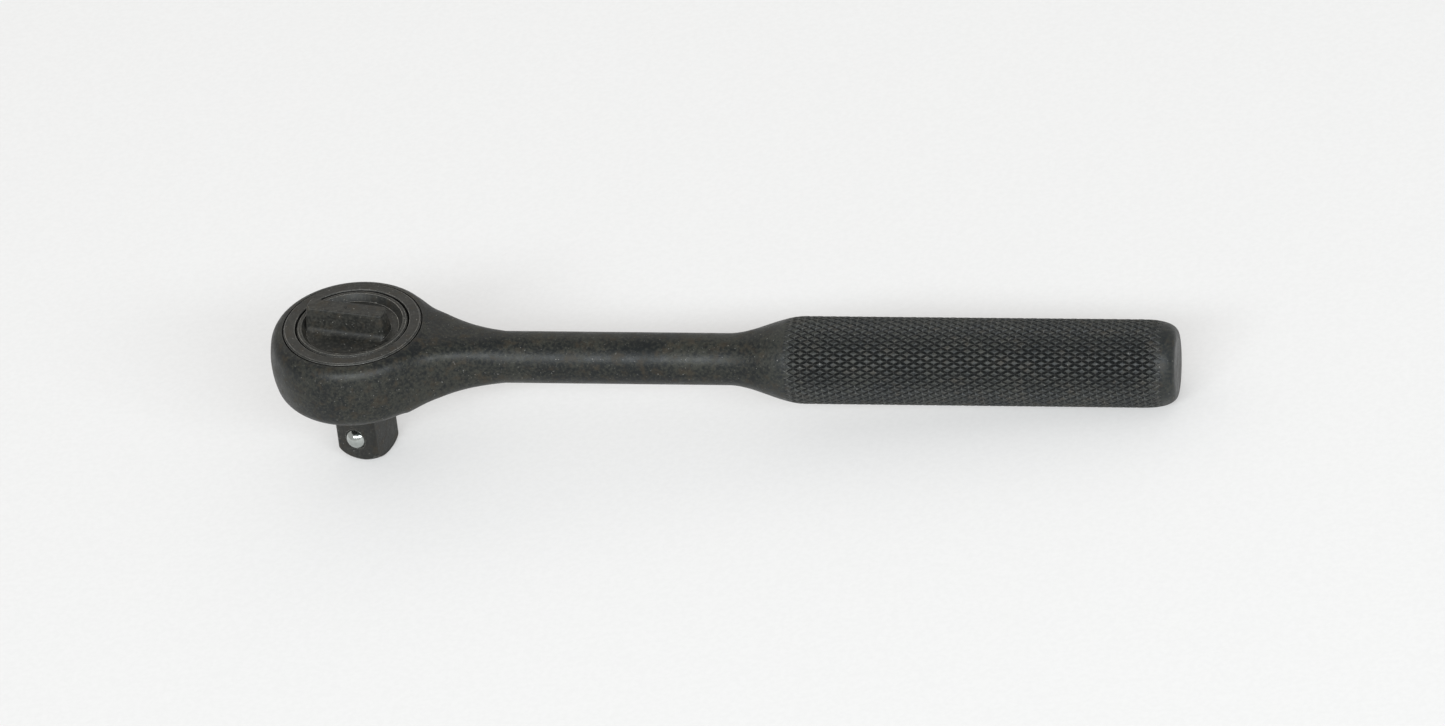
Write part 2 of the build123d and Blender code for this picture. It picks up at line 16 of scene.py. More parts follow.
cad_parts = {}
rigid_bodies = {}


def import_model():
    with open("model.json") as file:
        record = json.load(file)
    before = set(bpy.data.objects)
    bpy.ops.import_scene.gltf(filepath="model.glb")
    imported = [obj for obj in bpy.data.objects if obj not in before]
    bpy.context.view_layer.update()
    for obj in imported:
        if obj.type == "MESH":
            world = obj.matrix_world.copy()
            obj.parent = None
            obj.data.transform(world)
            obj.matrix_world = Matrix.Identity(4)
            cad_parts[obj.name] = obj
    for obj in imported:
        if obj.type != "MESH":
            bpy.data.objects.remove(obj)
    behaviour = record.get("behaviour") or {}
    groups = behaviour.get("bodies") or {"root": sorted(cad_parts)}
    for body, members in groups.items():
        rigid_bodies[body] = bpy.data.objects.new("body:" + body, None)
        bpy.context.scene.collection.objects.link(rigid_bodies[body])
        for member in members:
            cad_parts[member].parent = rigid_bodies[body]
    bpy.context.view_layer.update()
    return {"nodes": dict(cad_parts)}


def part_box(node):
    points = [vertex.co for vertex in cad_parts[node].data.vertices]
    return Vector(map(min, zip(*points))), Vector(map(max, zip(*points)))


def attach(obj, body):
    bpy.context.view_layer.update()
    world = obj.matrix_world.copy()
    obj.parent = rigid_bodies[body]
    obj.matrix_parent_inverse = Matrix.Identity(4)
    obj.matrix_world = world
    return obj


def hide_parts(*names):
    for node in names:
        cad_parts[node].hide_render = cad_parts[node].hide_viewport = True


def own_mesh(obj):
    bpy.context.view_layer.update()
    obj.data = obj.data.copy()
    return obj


for leftover in list(bpy.data.objects):
    bpy.data.objects.remove(leftover)
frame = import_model()
nodes = frame["nodes"]
scene = bpy.context.scene

MM = 0.001

# ------------------------------------------------------------------ sizes
body_low, body_high = (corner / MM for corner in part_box("body"))
cover_low, cover_high = (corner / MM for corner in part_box("cover_ring"))
core_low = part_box("drive_core")[0] / MM
gear_low, gear_high = (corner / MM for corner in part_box("ring_gear"))

HEAD_R = 17.63
HANDLE_END = body_high.x
HANDLE_R = (body_high.z - body_low.z) / 2
SHANK_Z = (body_high.z + body_low.z) / 2
NECK_R = 5.34
RECESS_R = 14.56
RECESS_FLOOR = cover_low.z
CHAMBER_R = gear_high.x
CHAMBER_FLOOR = gear_low.z
JOURNAL_R = 8.0
SIDE_R, SIDE_LOW, SIDE_HIGH = 17.1, 4.0, 13.3
SHOULDER = (16.42, 14.79)                  # where the side's rounding tightens to the crown's
LOWER_CONE = (15.33, 1.48)
BOTTOM_R = 13.05
RIM_Z = 15.88
FLARE_START, FLARE_END = 11.99, 31.34
FLARE_DROP, FLARE_DROP_POWER = 2.72, 2.5
FLARE_RISE, FLARE_RISE_POWER, FLARE_RISE_MOST, FLARE_CAP_POWER = 3.84, 2.1, 2.1, 4
FLARE_SQUARENESS, FLARE_SQUARE_RATE = 1.8, 1.5
CONE_START, CONE_END = 77.9, 94.0
END_ROUND, END_FACE_R, END_POWER = 7.8, 5.7, 2.6

KNURL_AROUND = 36
KNURL_STEPS = 8                            # mesh steps across one diamond
KNURL_PITCH = 2.75                         # along the handle
KNURL_DEPTH = 0.5
KNURL_RISE = (0.0, 0.5, 0.92, 1.0, 1.0)    # height at each step away from a groove
KNURL_START, KNURL_STOP = 88.5, 168.3

HEAD_COLUMNS = 480
SHANK_COLUMNS = KNURL_AROUND * KNURL_STEPS
SEAM_X = 25.0                              # where the head's mesh meets the shank's
BLEND = 1.2                                # softness of the join between head and flare
BLEND_END = 1.2                            # the join sharpens over this height below the rim
SINK_X, SINK_SHARE = 16.0, 0.6             # nearer the axis than this the flare sinks in
RAY_CENTRE_R = 11.5                        # rays to the head's surface start on this circle
RAY_REACH, HALVINGS = 30.0, 32             # how far they look, and how often they halve that
SEAM_SPARE = 1.5                           # head mesh past the seam, cut off before it is joined
BORE_CHAMFER = 0.25                        # at the mouth of the journal's bore
BORE_FACE_R = 10.5

FLARE_RINGS, NECK_RINGS, CONE_RINGS, END_RINGS = 14, 24, 26, 40
END_FACE_SHARES = (0.9, 0.7, 0.35)         # radii of the rings on the handle's end face
RING_SPARE = 0.12                          # from the seam to the first ring of the flare
SPRING_STEPS, SPRING_SIDES = 32, 12        # mesh steps along one coil, and round its wire


# ------------------------------------------------------------------ body mesh
def tangent_arc(start, direction, end, count):
    """Points on the circle that leaves start along direction and passes through end."""
    (ax, ay), (cx, cy) = start, end
    turn = 2 * (atan2(cy - ay, cx - ax) - atan2(direction[1], direction[0]))
    turn = (turn + pi) % (2 * pi) - pi
    heading = atan2(direction[1], direction[0])
    length = sqrt((cx - ax) ** 2 + (cy - ay) ** 2)
    radius = length / (2 * sin(turn / 2))
    mx, my = ax - radius * sin(heading), ay + radius * cos(heading)
    angles = heading + np.linspace(0, turn, count)
    return [(mx + radius * sin(t), my - radius * cos(t)) for t in angles]


def head_profile():
    """The head's outer outline from its bottom edge to its top rim, as radius and height."""
    half = (SIDE_HIGH - SIDE_LOW) / 2
    bulge = HEAD_R - SIDE_R
    lean = 2 * half * bulge / (half * half + bulge * bulge)
    rise = sqrt(1 - lean * lean)
    cone = list(zip(np.linspace(BOTTOM_R, LOWER_CONE[0], 10), np.linspace(0, LOWER_CONE[1], 10)))
    lower = tangent_arc((SIDE_R, SIDE_LOW), (-lean, -rise), LOWER_CONE, 16)[::-1]
    side = tangent_arc((SIDE_R, SIDE_LOW), (lean, rise), (SIDE_R, SIDE_HIGH), 30)
    shoulder = tangent_arc((SIDE_R, SIDE_HIGH), (-lean, rise), SHOULDER, 12)
    (ax, ay), (bx, by) = shoulder[-2:]
    crown = tangent_arc(SHOULDER, (bx - ax, by - ay), (RECESS_R, RIM_Z), 22)
    return np.array(cone[:-1] + lower[:-1] + side[:-1] + shoulder[:-1] + crown)


def head_distance(radius, z, outline):
    """Signed distance to the head's solid of revolution, negative inside."""
    loop = np.vstack([outline, [(0, RIM_Z), (0, 0), outline[0]]])
    best = np.full(radius.shape, 1e9)
    inside = np.zeros(radius.shape, bool)
    for (ax, ay), (bx, by) in zip(loop[:-1], loop[1:]):
        ex, ey = bx - ax, by - ay
        along = np.clip(((radius - ax) * ex + (z - ay) * ey) / (ex * ex + ey * ey), 0, 1)
        best = np.minimum(best, np.hypot(radius - ax - along * ex, z - ay - along * ey))
        if ey:
            crosses = (ay > z) != (by > z)
            inside ^= crosses & (radius < ex * (z - ay) / ey + ax)
    return np.where(inside, -best, best)


def flare_section(x):
    """Half width, height below and above the handle's axis, and squareness of the flare at x."""
    reach = np.clip(FLARE_END - x, 0, None)
    part_way = reach / (FLARE_END - FLARE_START)
    arc_r = (FLARE_END**2 - HEAD_R**2 + NECK_R**2) / (2 * (HEAD_R - NECK_R))
    half_width = NECK_R + arc_r - np.sqrt(arc_r**2 - reach**2)
    below = NECK_R + FLARE_DROP * part_way**FLARE_DROP_POWER
    swell = FLARE_RISE * np.maximum(part_way, 1e-6) ** FLARE_RISE_POWER
    cap = swell**-FLARE_CAP_POWER + FLARE_RISE_MOST**-FLARE_CAP_POWER
    above = NECK_R + cap ** (-1 / FLARE_CAP_POWER)
    squareness = 2 + FLARE_SQUARENESS * np.minimum(1, FLARE_SQUARE_RATE * part_way)
    return half_width, below, above, squareness


def flare_distance(x, y, z):
    """Roughly the signed distance to the flare, which sinks into the head towards the axis."""
    half_width, below, above, squareness = flare_section(np.maximum(x, FLARE_START))
    sunk = 1 - SINK_SHARE * np.clip((SINK_X - x) / SINK_X, 0, 1) ** 2
    half_width, half_height = half_width * sunk, np.where(z > SHANK_Z, above, below) * sunk
    across, up = np.abs(y) / half_width, np.abs(z - SHANK_Z) / half_height
    grown = (across**squareness + up**squareness) ** (1 / squareness)
    return (grown - 1) * np.minimum(half_width, half_height)


def smooth_union(a, b, softness):
    """The distance to both shapes together, with the corner between them rounded."""
    h = np.clip(0.5 + 0.5 * (b - a) / softness, 0, 1)
    return b + (a - b) * h - softness * h * (1 - h)


def head_points():
    """Rings of points over head and flare, found along rays from a circle inside the head."""
    outline = head_profile()
    centre_r, centre_z = RAY_CENTRE_R, SHANK_Z
    lift = np.arctan2(outline[:, 1] - centre_z, outline[:, 0] - centre_r)[1:]
    turn = np.linspace(0, 2 * pi, HEAD_COLUMNS, endpoint=False)
    lift, turn = np.meshgrid(lift, turn, indexing="ij")
    near, far = np.zeros(lift.shape), np.full(lift.shape, RAY_REACH)
    for _ in range(HALVINGS):
        middle = (near + far) / 2
        radius, z = centre_r + middle * np.cos(lift), centre_z + middle * np.sin(lift)
        x, y = radius * np.cos(turn), radius * np.sin(turn)
        softness = BLEND * np.clip((RIM_Z - z) / BLEND_END, 0.02, 1)
        flare = np.maximum(flare_distance(x, y, z), -x)
        field = smooth_union(head_distance(radius, z, outline), flare, softness)
        field = np.maximum(field, x - SEAM_X - SEAM_SPARE)
        near, far = np.where(field < 0, middle, near), np.where(field < 0, far, middle)
    radius, z = centre_r + near * np.cos(lift), centre_z + near * np.sin(lift)
    return np.stack([radius * np.cos(turn), radius * np.sin(turn), z], -1)


def circle_ring(radius, z, columns):
    """Points round the drive axis at one height."""
    turn = np.linspace(0, 2 * pi, columns, endpoint=False)
    return np.stack([radius * np.cos(turn), radius * np.sin(turn), np.full(columns, z)], -1)


def shank_ring(x, radius):
    """Points round the handle's axis at x."""
    turn = np.linspace(0, 2 * pi, SHANK_COLUMNS, endpoint=False)
    return np.stack([np.full(SHANK_COLUMNS, x), radius * np.cos(turn),
                     SHANK_Z + radius * np.sin(turn)], -1)


def handle_profile(x):
    """Radius of neck, cone, handle and rounded end, before knurling."""
    way = np.clip((x - CONE_START) / (CONE_END - CONE_START), 0, 1)
    radius = NECK_R + (HANDLE_R - NECK_R) * way * way * (3 - 2 * way)
    end = np.clip((x - HANDLE_END + END_ROUND) / END_ROUND, 0, 1) ** END_POWER
    return radius - (HANDLE_R - END_FACE_R) * (1 - max(0, 1 - end) ** (1 / END_POWER))


def knurl_height(ring):
    """1 on a diamond's flat top and 0 in a groove, around one ring of mesh points."""
    column = np.arange(SHANK_COLUMNS)
    rise = np.array(KNURL_RISE)
    half = KNURL_STEPS // 2
    one = np.abs((column - ring + half) % KNURL_STEPS - half)
    other = np.abs((column + ring + half) % KNURL_STEPS - half)
    return np.minimum(rise[one], rise[other])


def shank_rings():
    """The rings of points from the seam to the handle's end, as (points, knurl heights, step)."""
    turn = np.linspace(0, 2 * pi, SHANK_COLUMNS, endpoint=False)
    step = KNURL_PITCH / KNURL_STEPS
    smooth = np.ones(SHANK_COLUMNS)
    rings = []
    for x in np.linspace(SEAM_X + RING_SPARE, FLARE_END, FLARE_RINGS)[:-1]:
        half_width, below, above, squareness = flare_section(x)
        half_height = np.where(np.sin(turn) > 0, above, below)
        around = (np.abs(np.cos(turn)) / half_width) ** squareness
        around += (np.abs(np.sin(turn)) / half_height) ** squareness
        rings.append((shank_ring(x, around ** (-1 / squareness)), smooth, None))
    plain = list(np.linspace(FLARE_END, CONE_START, NECK_RINGS))
    plain += list(np.linspace(CONE_START, KNURL_START, CONE_RINGS)[1:-1])
    rings += [(shank_ring(x, handle_profile(x)), smooth, None) for x in plain]
    for i in range(ceil((KNURL_STOP - KNURL_START) / step)):
        x = KNURL_START + i * step
        height = knurl_height(i)
        cut = HANDLE_R - KNURL_DEPTH * (1 - height)
        height = np.where(cut < handle_profile(x), height, 1.0)
        rings.append((shank_ring(x, np.minimum(cut, handle_profile(x))), height, i))
    last_x = x
    for angle in np.linspace(0, pi / 2, END_RINGS):
        x = HANDLE_END - END_ROUND * (1 - sin(angle))
        if x > last_x + 0.05:
            rings.append((shank_ring(x, handle_profile(x)), smooth, None))
    for share in END_FACE_SHARES:
        rings.append((shank_ring(HANDLE_END, END_FACE_R * share), smooth, None))
    return rings


def zip_rings(mesh, lower, upper, angle_of):
    """Triangles between two closed rings of vertices, both sorted by angle."""
    i = j = 0
    while i < len(lower) or j < len(upper):
        a, b = lower[i % len(lower)], upper[j % len(upper)]
        next_a = angle_of(lower[i + 1]) if i + 1 < len(lower) else 2 * pi + angle_of(lower[0])
        next_b = angle_of(upper[j + 1]) if j + 1 < len(upper) else 2 * pi + angle_of(upper[0])
        if j >= len(upper) or (i < len(lower) and next_a <= next_b):
            mesh.faces.new((a, lower[(i + 1) % len(lower)], b))
            i += 1
        else:
            mesh.faces.new((a, upper[(j + 1) % len(upper)], b))
            j += 1


def join_rings(mesh, row, above, step):
    """Quads between two rings, or triangles whose diagonals follow the knurl's grooves."""
    columns = len(row)
    for i in range(columns):
        j = (i + 1) % columns
        if step is None:
            mesh.faces.new((row[i], row[j], above[j], above[i]))
        elif (i - step) % 2 == 0:
            mesh.faces.new((row[i], row[j], above[j]))
            mesh.faces.new((row[i], above[j], above[i]))
        else:
            mesh.faces.new((row[i], row[j], above[i]))
            mesh.faces.new((row[j], above[j], above[i]))


def make_body():
    """The forged body: head with its bored chamber, flare, neck and knurled handle."""
    mesh = bmesh.new()
    layer = mesh.verts.layers.float.new("knurl")

    def add_ring(points, heights):
        row = [mesh.verts.new(Vector(p) * MM) for p in points]
        for vert, value in zip(row, heights):
            vert[layer] = value
        return row

    head = [circle_ring(BOTTOM_R, 0.0, HEAD_COLUMNS), *head_points()]
    inner = [(RECESS_R, RECESS_FLOOR), (CHAMBER_R, RECESS_FLOOR), (CHAMBER_R, CHAMBER_FLOOR),
             (JOURNAL_R, CHAMBER_FLOOR), (JOURNAL_R, BORE_CHAMFER),
             (JOURNAL_R + BORE_CHAMFER, 0.0), (BORE_FACE_R, 0.0)]
    head += [circle_ring(radius, z, HEAD_COLUMNS) for radius, z in inner]
    grid = [add_ring(points, np.ones(HEAD_COLUMNS)) for points in head]
    for row, above in zip(grid, grid[1:] + grid[:1]):
        join_rings(mesh, row, above, None)
    everything = mesh.verts[:] + mesh.edges[:] + mesh.faces[:]
    bmesh.ops.bisect_plane(mesh, geom=everything, plane_co=(SEAM_X * MM, 0, 0),
                           plane_no=(1, 0, 0), clear_outer=True, dist=1e-9)

    def angle_of(vert):
        return atan2(vert.co.z / MM - SHANK_Z, vert.co.y / MM) % (2 * pi)

    seam = {vert for edge in mesh.edges if edge.is_boundary for vert in edge.verts}
    seam = sorted(seam, key=angle_of)
    rings = shank_rings()
    shank = [add_ring(points, heights) for points, heights, _ in rings]
    for k in range(len(rings) - 1):
        join_rings(mesh, shank[k], shank[k + 1], rings[k][2])
    centre = add_ring([(HANDLE_END, 0, SHANK_Z)], [1.0])[0]
    for i in range(SHANK_COLUMNS):
        mesh.faces.new((shank[-1][i], shank[-1][(i + 1) % SHANK_COLUMNS], centre))
    zip_rings(mesh, seam, shank[0], angle_of)
    bmesh.ops.recalc_face_normals(mesh, faces=mesh.faces[:])
    return mesh


def finish_mesh(mesh, name, sharp_angle):
    """A smooth-shaded object whose edges over sharp_angle stay crisp."""
    for face in mesh.faces:
        face.smooth = True
    for edge in mesh.edges:
        edge.smooth = len(edge.link_faces) == 2 and edge.calc_face_angle(0) < radians(sharp_angle)
    data = bpy.data.meshes.new(name)
    mesh.to_mesh(data)
    mesh.free()
    made = bpy.data.objects.new(name, data)
    scene.collection.objects.link(made)
    return made


# ------------------------------------------------------------------ materials
CLOUD, PATCH, MOTTLE, SPECK, GRAIN = 90.0, 420.0, 1500.0, 2300.0, 4200.0    # noise per metre
TURNING = 5200.0                           # turning marks per metre of radius
SEAM_DEPTH, HOLLOW_DEPTH = 0.8, 3.0        # how far shade reaches out of seams and hollows
GRAIN_BUMP, MOTTLE_BUMP, PATCH_BUMP, TURNING_BUMP = 0.02, 0.05, 0.05, 0.012
STEEL_CLOUD, STEEL_GRAIN, STEEL_BUMP = 300.0, 3200.0, 0.006
OXIDE_SPECULAR, PAPER_SPECULAR = 0.285, 0.1
# Painted shade: near black in seams and narrow gaps, dark in hollows, wherever ambient occlusion
# finds them.
SEAM_PAINTED_SHADE, HOLLOW_PAINTED_SHADE = (0.0005, 0.0005, 0.0005), (0.003, 0.003, 0.003)
# Colours for the knurl's grooves, part grime and part painted shade, and for the handle's lighter
# bluish tint, part wear and part painted sheen.
GROOVE_GRIME_AND_SHADE, HANDLE_WEAR_AND_SHEEN = (0.003, 0.004, 0.006), (0.042, 0.048, 0.052)
HANDLE_BLUE_FROM, HANDLE_BLUE_TO, HANDLE_BLUE_SHARE = 84, 92, 0.15


class Nodes:
    """Short ways to add nodes to one material."""

    def __init__(self, name):
        self.material = bpy.data.materials.new(name)
        self.material.use_nodes = True
        self.tree = self.material.node_tree
        self.shader = self.tree.nodes["Principled BSDF"]
        self.place = self.add("ShaderNodeTexCoord").outputs["Object"]

    def add(self, kind, **settings):
        """A new node of one kind with these settings."""
        node = self.tree.nodes.new(kind)
        for key, value in settings.items():
            setattr(node, key, value)
        return node

    def put(self, value, socket):
        """Link a node's output to the socket, or set the socket to a plain value."""
        if isinstance(value, bpy.types.NodeSocket):
            self.tree.links.new(value, socket)
        else:
            socket.default_value = value

    def noise(self, scale, detail=4.0, roughness=0.55, place=None):
        """Cloudy noise between 0 and 1, with scale counted per metre."""
        node = self.add("ShaderNodeTexNoise")
        self.put(place or self.place, node.inputs["Vector"])
        for key, value in (("Scale", scale), ("Detail", detail), ("Roughness", roughness)):
            self.put(value, node.inputs[key])
        return node.outputs["Fac"]

    def band(self, value, low, high, out_low=0.0, out_high=1.0):
        """value taken from low..high to out_low..out_high, and kept inside."""
        node = self.add("ShaderNodeMapRange", interpolation_type="SMOOTHSTEP")
        for socket, number in zip(node.inputs, (value, low, high, out_low, out_high)):
            self.put(number, socket)
        return node.outputs["Result"]

    def math(self, operation, a, b):
        """One sum or product and so on of a and b."""
        node = self.add("ShaderNodeMath", operation=operation)
        self.put(a, node.inputs[0])
        self.put(b, node.inputs[1])
        return node.outputs["Value"]

    def mix(self, share, a, b):
        """Colour a where share is 0, and colour b where it is 1."""
        node = self.add("ShaderNodeMix", data_type="RGBA")
        for name, value in (("Factor_Float", share), ("A_Color", a), ("B_Color", b)):
            socket = next(s for s in node.inputs if s.identifier == name)
            if isinstance(value, tuple):
                value = (*value, 1.0)
            self.put(value, socket)
        return next(s for s in node.outputs if s.identifier == "Result_Color")

    def edge_wear(self, radius):
        """1 where the surface turns within radius and 0 on even faces, and the eased normal."""
        bevel = self.add("ShaderNodeBevel", samples=6)
        self.put(radius * MM, bevel.inputs["Radius"])
        plain = self.add("ShaderNodeNewGeometry").outputs["Normal"]
        dot = self.add("ShaderNodeVectorMath", operation="DOT_PRODUCT")
        self.put(bevel.outputs["Normal"], dot.inputs[0])
        self.put(plain, dot.inputs[1])
        return self.band(dot.outputs["Value"], 0.995, 0.93), bevel.outputs["Normal"]

    def shade_in(self, distance):
        """1 deep in seams and corners, 0 in the open."""
        node = self.add("ShaderNodeAmbientOcclusion", samples=8)
        self.put(distance * MM, node.inputs["Distance"])
        return self.band(node.outputs["AO"], 0.75, 0.3)

    def bump(self, height, distance, strength=1.0, after=None):
        """The normal of a surface raised by height times distance, in millimetres."""
        node = self.add("ShaderNodeBump")
        self.put(height, node.inputs["Height"])
        self.put(distance * MM, node.inputs["Distance"])
        self.put(strength, node.inputs["Strength"])
        if after is not None:
            self.put(after, node.inputs["Normal"])
        return node.outputs["Normal"]

    def finish(self, colour, roughness, normal=None, metallic=0.0):
        """The material, with these on its shader."""
        self.put(colour, self.shader.inputs["Base Color"])
        self.put(roughness, self.shader.inputs["Roughness"])
        self.put(metallic, self.shader.inputs["Metallic"])
        if normal is not None:
            self.put(normal, self.shader.inputs["Normal"])
        return self.material


def black_oxide(name, dark, light, brown, gloss, worn, wear, ease, knurled=False, turned=False):
    """Oiled black oxide: mottled dark iron with specks, edge wear and fine grain, with painted
    shade in seams and hollows.

    dark, light and brown are its mottled colours and gloss its roughness.  worn is the bare
    metal, wear how much of it shows at edges, and ease the radius that edges look rounded by.
    """
    n = Nodes(name)
    cloud = n.noise(CLOUD, 4.0, 0.6)
    patch = n.noise(PATCH, 6.0, 0.65)
    mottle = n.noise(MOTTLE, 3.0, 0.6)
    grain = n.noise(GRAIN, 2.0, 0.6)
    tone = n.math("ADD", n.math("MULTIPLY", cloud, 0.4), n.math("MULTIPLY", mottle, 0.6))
    colour = n.mix(n.band(tone, 0.4, 0.62), dark, light)
    colour = n.mix(n.math("MULTIPLY", n.band(patch, 0.5, 0.68), 0.6), colour, brown)
    fleck = n.math("MULTIPLY", n.band(grain, 0.6, 0.74), n.band(mottle, 0.45, 0.6))
    colour = n.mix(n.math("MULTIPLY", fleck, 0.5), colour, tuple(4.5 * c for c in light))
    rubbed = n.band(n.math("ADD", n.math("MULTIPLY", patch, 0.5), n.math("MULTIPLY", grain, 0.5)),
                    0.42, 0.58, 0.2, 1.0)
    edge, eased = n.edge_wear(ease)
    edge = n.math("MULTIPLY", edge, n.math("MULTIPLY", rubbed, wear))
    speck = n.band(n.noise(SPECK, 1.0, 0.5), 0.72, 0.8)
    bare = n.math("MAXIMUM", edge, n.math("MULTIPLY", speck, 0.5))
    if knurled:
        height = n.add("ShaderNodeAttribute", attribute_name="knurl").outputs["Fac"]
        groove = n.band(height, 0.75, 0.1)
        place = n.add("ShaderNodeSeparateXYZ")
        n.put(n.place, place.inputs[0])
        on_handle = n.band(place.outputs["X"], HANDLE_BLUE_FROM * MM, HANDLE_BLUE_TO * MM,
                           0.0, HANDLE_BLUE_SHARE)
        # Part wear, part painted sheen: the handle is tinted lighter and bluer, rising from 84 to
        # 92 mm along it.
        colour = n.mix(on_handle, colour, HANDLE_WEAR_AND_SHEEN)
        # The knurl's grooves are darkened from the stored knurl height: part grime, part painted
        # shade.
        colour = n.mix(n.math("MULTIPLY", groove, 0.88), colour, GROOVE_GRIME_AND_SHADE)
    # Painted shade: seams and narrow gaps turn near black where ambient occlusion finds them, and
    # no bare wear shows there.
    seam = n.shade_in(SEAM_DEPTH)
    colour = n.mix(seam, colour, SEAM_PAINTED_SHADE)
    bare = n.math("MULTIPLY", bare, n.math("SUBTRACT", 1.0, seam))
    colour = n.mix(bare, colour, worn)
    roughness = n.band(n.math("ADD", patch, n.math("MULTIPLY", mottle, 0.6)), 0.6, 1.05,
                       gloss - 0.08, gloss + 0.1)
    # Painted shade in hollows found by ambient occlusion over a few millimetres; the same hollows
    # are made rougher.
    hollow = n.shade_in(HOLLOW_DEPTH)
    colour = n.mix(n.math("MULTIPLY", hollow, 0.4), colour, HOLLOW_PAINTED_SHADE)
    roughness = n.math("ADD", roughness, n.math("MULTIPLY", hollow, 0.3))
    roughness = n.math("SUBTRACT", roughness, n.math("MULTIPLY", bare, 0.2))
    normal = n.bump(grain, GRAIN_BUMP, 1.0, eased)
    normal = n.bump(mottle, MOTTLE_BUMP, 1.0, normal)
    normal = n.bump(patch, PATCH_BUMP, 0.3, normal)
    if turned:
        spread = n.add("ShaderNodeVectorMath", operation="MULTIPLY")
        n.put(n.place, spread.inputs[0])
        n.put((1.0, 1.0, 0.0), spread.inputs[1])
        radius = n.add("ShaderNodeVectorMath", operation="LENGTH")
        n.put(spread.outputs["Vector"], radius.inputs[0])
        along = n.add("ShaderNodeCombineXYZ")
        n.put(radius.outputs["Value"], along.inputs["X"])
        marks = n.noise(TURNING, 2.0, 0.5, along.outputs["Vector"])
        normal = n.bump(marks, TURNING_BUMP, 0.5, normal)
    n.shader.inputs["Specular IOR Level"].default_value = OXIDE_SPECULAR
    return n.finish(colour, roughness, normal, n.band(bare, 0.2, 0.9))


def steel(name, colour, roughness):
    """Bare ground steel with faint colour change and fine grain."""
    n = Nodes(name)
    cloud = n.noise(STEEL_CLOUD)
    darker = tuple(0.72 * c for c in colour)
    shade = n.mix(n.band(cloud, 0.35, 0.7), colour, darker)
    grain = n.noise(STEEL_GRAIN, 2.0)
    return n.finish(shade, n.band(grain, 0.3, 0.7, roughness - 0.05, roughness + 0.07),
                    n.bump(grain, STEEL_BUMP, 0.4), 1.0)


body_oxide = black_oxide(
    "body_black_oxide", dark=(0.004, 0.0055, 0.006), light=(0.023, 0.0235, 0.0185),
    brown=(0.030, 0.0225, 0.0135), gloss=0.45, worn=(0.26, 0.255, 0.24), wear=0.3, ease=0.2,
    knurled=True)
part_oxide = black_oxide(
    "part_black_oxide", dark=(0.011, 0.0115, 0.0105), light=(0.024, 0.0235, 0.020),
    brown=(0.030, 0.0235, 0.0155), gloss=0.42, worn=(0.36, 0.35, 0.33), wear=0.8, ease=0.25,
    turned=True)
knob_oxide = black_oxide(
    "knob_black_oxide", dark=(0.012, 0.0125, 0.0115), light=(0.032, 0.031, 0.0265),
    brown=(0.032, 0.0255, 0.017), gloss=0.5, worn=(0.42, 0.41, 0.38), wear=1.0, ease=0.2,
    turned=True)
blued_wire = black_oxide(
    "blued_spring_wire", dark=(0.008, 0.008, 0.009), light=(0.014, 0.014, 0.016),
    brown=(0.016, 0.012, 0.01), gloss=0.34, worn=(0.2, 0.2, 0.2), wear=0.3, ease=0.1)
gear_steel = steel("hardened_gear_steel", colour=(0.34, 0.33, 0.32), roughness=0.34)
wire_steel = steel("spring_wire", colour=(0.42, 0.41, 0.40), roughness=0.28)
ball_steel = steel("bright_ball", colour=(0.5, 0.53, 0.51), roughness=0.14)

by_slot = {"black_oxide_body": body_oxide, "black_oxide_parts": part_oxide,
           "hardened_steel": gear_steel, "spring_steel": wire_steel, "bright_ball": ball_steel}
for node in nodes.values():
    slot_name = node.data.materials[0].name
    node.data.materials[0] = by_slot[slot_name]
nodes["cover_retaining_ring"].data.materials[0] = blued_wire
nodes["selector_knob"].data.materials[0] = knob_oxide

BODY_SHARP, BALL_SHARP, COIL_SHARP, FLOOR_SHARP = 38, 60, 50, 180   # degrees

body = finish_mesh(make_body(), "wrench_body_forging", BODY_SHARP)
body.data.materials.append(body_oxide)
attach(body, "wrench_body")
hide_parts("body")

# The detent ball, finely meshed, with a small spot rubbed flat where sockets slide over it
BALL_RUBBED = 0.025
ball_low, ball_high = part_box("drive_detent_ball")
ball_centre = (ball_low + ball_high) / 2
ball_radius = (ball_high.z - ball_low.z) / 2
outwards = Vector((ball_centre.x, ball_centre.y, 0)).normalized()
ball_mesh = bmesh.new()
bmesh.ops.create_uvsphere(ball_mesh, u_segments=64, v_segments=40, radius=ball_radius)
for vert in ball_mesh.verts:
    proud = vert.co.dot(outwards) - (ball_radius - BALL_RUBBED * MM)
    vert.co -= outwards * max(0.0, proud)
    vert.co += ball_centre
ball = finish_mesh(ball_mesh, "drive_ball_bright", BALL_SHARP)
ball.data.materials.append(ball_steel)
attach(ball, "drive_ball")
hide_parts("drive_detent_ball")


